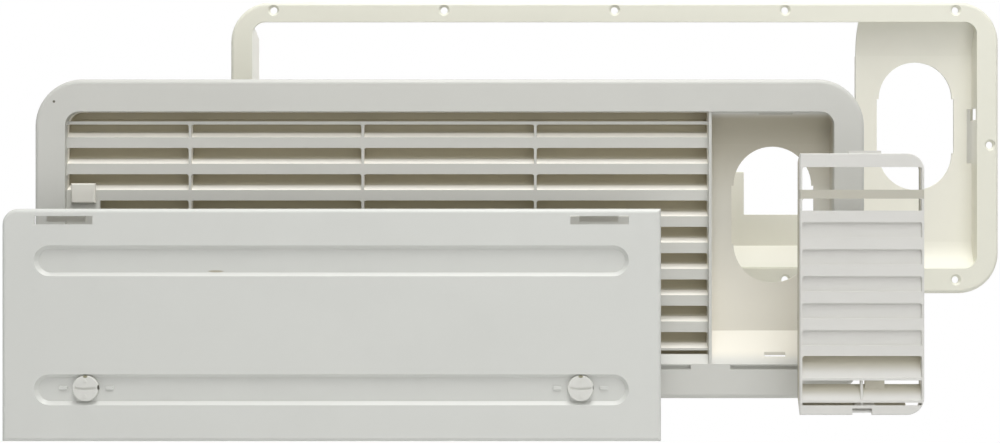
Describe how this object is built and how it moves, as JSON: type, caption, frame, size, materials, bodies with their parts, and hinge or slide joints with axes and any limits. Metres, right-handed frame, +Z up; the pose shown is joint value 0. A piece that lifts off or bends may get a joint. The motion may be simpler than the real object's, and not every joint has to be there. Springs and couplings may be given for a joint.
{
  "type": "fridge vent grille",
  "caption": "Wall vent for a caravan refrigerator, laid out in its mouldings: screw-on frame, louvred grille with flue opening, flue insert and winter cover with turn knobs.",
  "frame": {"origin": "middle of the mounting frame's screw holes, on the back of its flange, where it meets the wall", "axes": "X to the right along the long edge, Y into the wall, Z up"},
  "size_m": [0.6445, 0.1428, 0.2843],
  "materials": {
    "frame_plastic": "ivory moulded plastic, fine satin",
    "grille_plastic": "warm off-white moulded plastic, fine satin",
    "latch_plastic": "warm off-white moulded plastic, fine satin",
    "cover_plastic": "cool off-white moulded plastic, fine satin",
    "knob_plastic": "off-white moulded plastic, satin",
    "insert_plastic": "cool off-white moulded plastic, fine satin"
  },
  "bodies": {
    "vent": {"mounting_frame": "frame_plastic", "vent_grille": "grille_plastic", "flue_insert": "insert_plastic", "winter_cover": "cover_plastic"},
    "left_knob": {"turn_knob_left": "knob_plastic"},
    "right_knob": {"turn_knob_right": "knob_plastic"},
    "upper_latch": {"slide_latch_upper": "latch_plastic"},
    "lower_latch": {"slide_latch_lower": "latch_plastic"}
  },
  "joints": [
    {"name": "left_knob_turn", "type": "hinge", "parent": "vent", "child": "left_knob", "pos_m": [-0.3327, -0.1005, -0.15443], "axis": [0, 1, 0], "range_deg": [0, 90]},
    {"name": "right_knob_turn", "type": "hinge", "parent": "vent", "child": "right_knob", "pos_m": [-0.0281, -0.1005, -0.15443], "axis": [0, 1, 0], "range_deg": [0, 90]},
    {"name": "upper_latch_slide", "type": "slide", "parent": "vent", "child": "upper_latch", "axis": [1, 0, 0], "range_m": [0, 0.006]},
    {"name": "lower_latch_slide", "type": "slide", "parent": "vent", "child": "lower_latch", "axis": [1, 0, 0], "range_m": [0, 0.006]}
  ]
}
